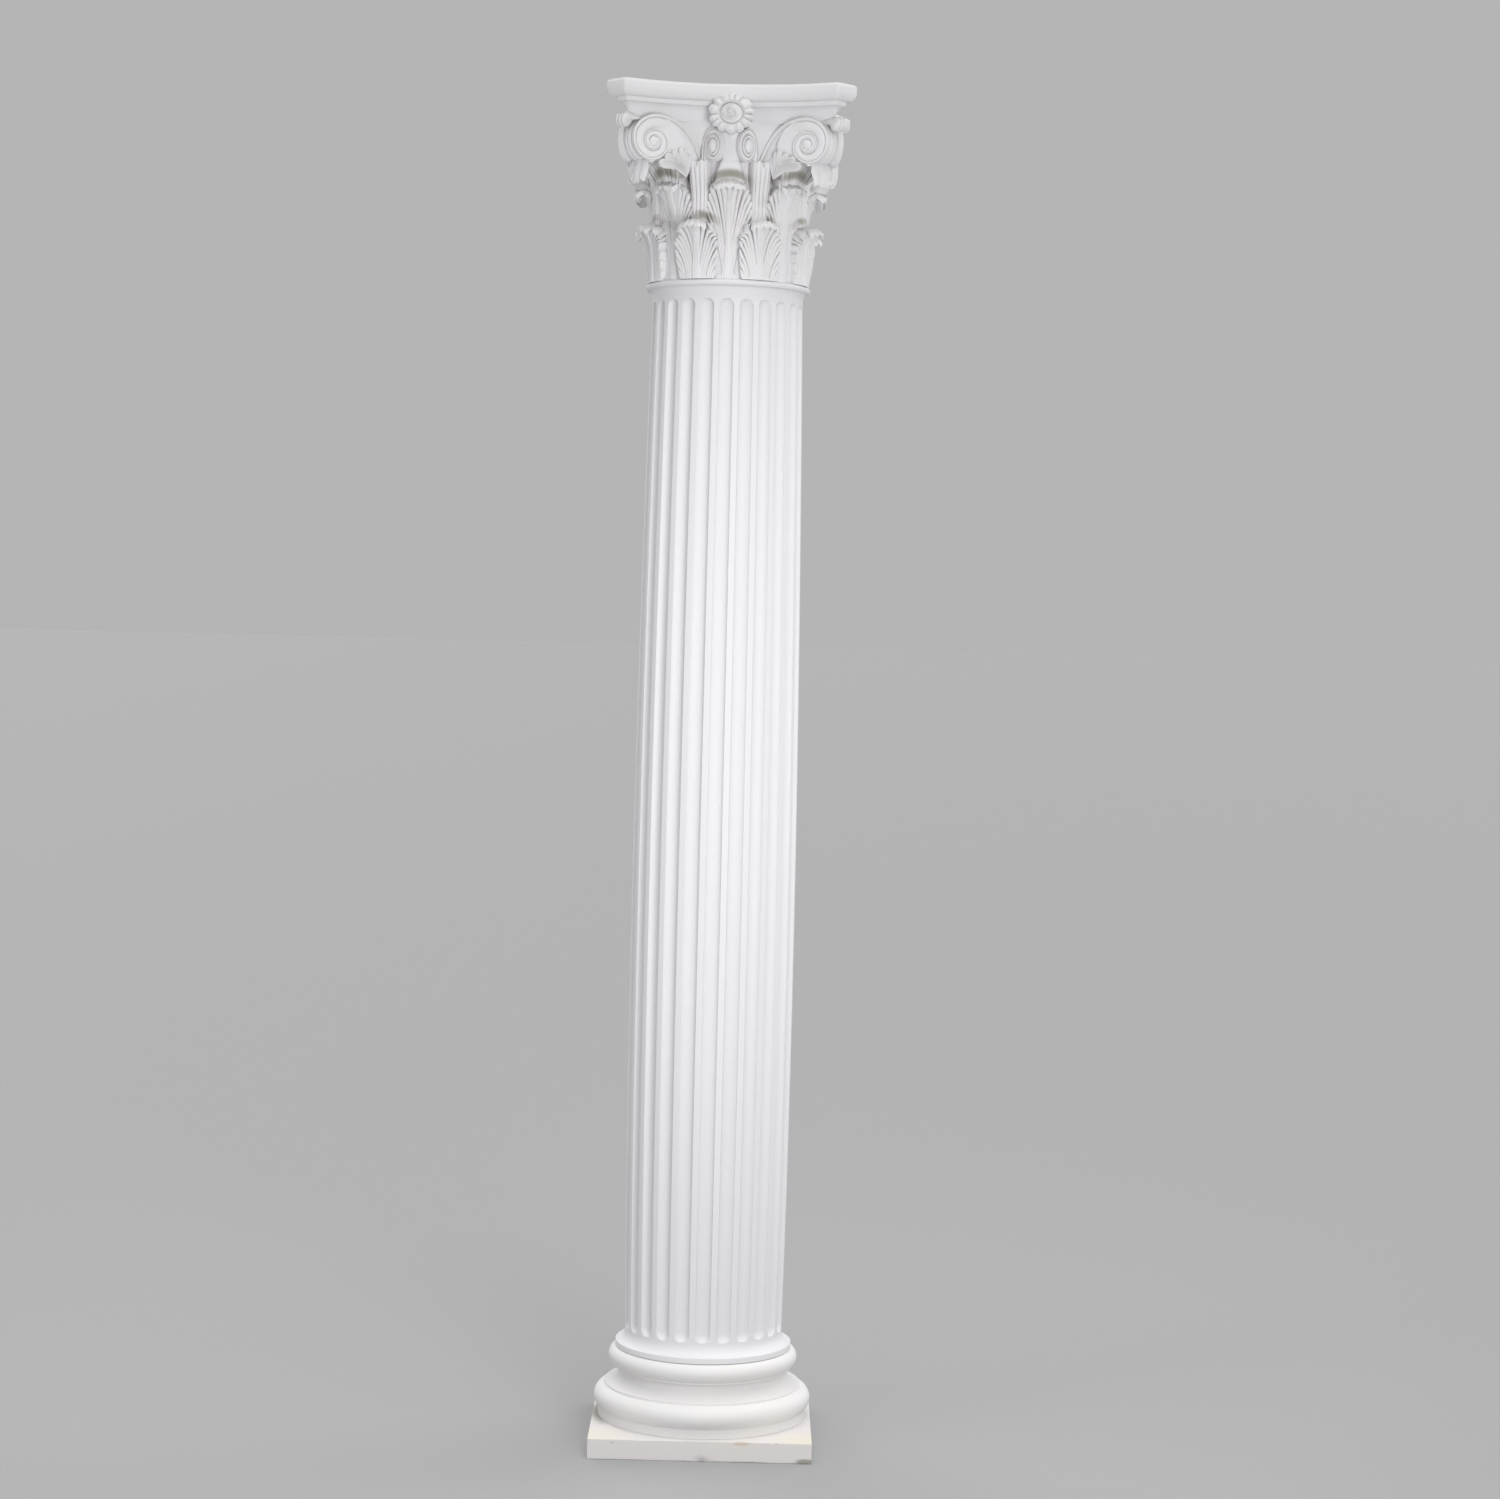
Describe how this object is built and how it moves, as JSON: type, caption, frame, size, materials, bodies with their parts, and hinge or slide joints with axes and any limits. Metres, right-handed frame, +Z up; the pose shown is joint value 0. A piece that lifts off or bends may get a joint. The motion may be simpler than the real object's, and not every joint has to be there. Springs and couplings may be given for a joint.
{
  "type": "corinthian column",
  "caption": "Free-standing white plaster Corinthian column: square plinth, turned base, fluted shaft with a slight swelling and an acanthus leaf capital with corner volutes.",
  "frame": {"origin": "middle of the plinth's underside, on the floor", "axes": "+Z up along the column's axis, -Y towards the front, with the plinth's sides and the capital's faces square to X and Y"},
  "size_m": [0.441, 0.441, 2.4386],
  "materials": {
    "plinth_plaster": "matt white cast plaster, yellowed, with scuffs and specks on its edges",
    "base_plaster": "matt white cast plaster with faint dirt in its hollows",
    "shaft_plaster": "matt white cast plaster",
    "capital_plaster": "matt white cast plaster with olive grey dirt behind the leaf tips"
  },
  "bodies": {
    "root": {"plinth": "plinth_plaster", "base_moulding": "base_plaster", "shaft": "shaft_plaster", "capital": "capital_plaster"}
  },
  "joints": []
}
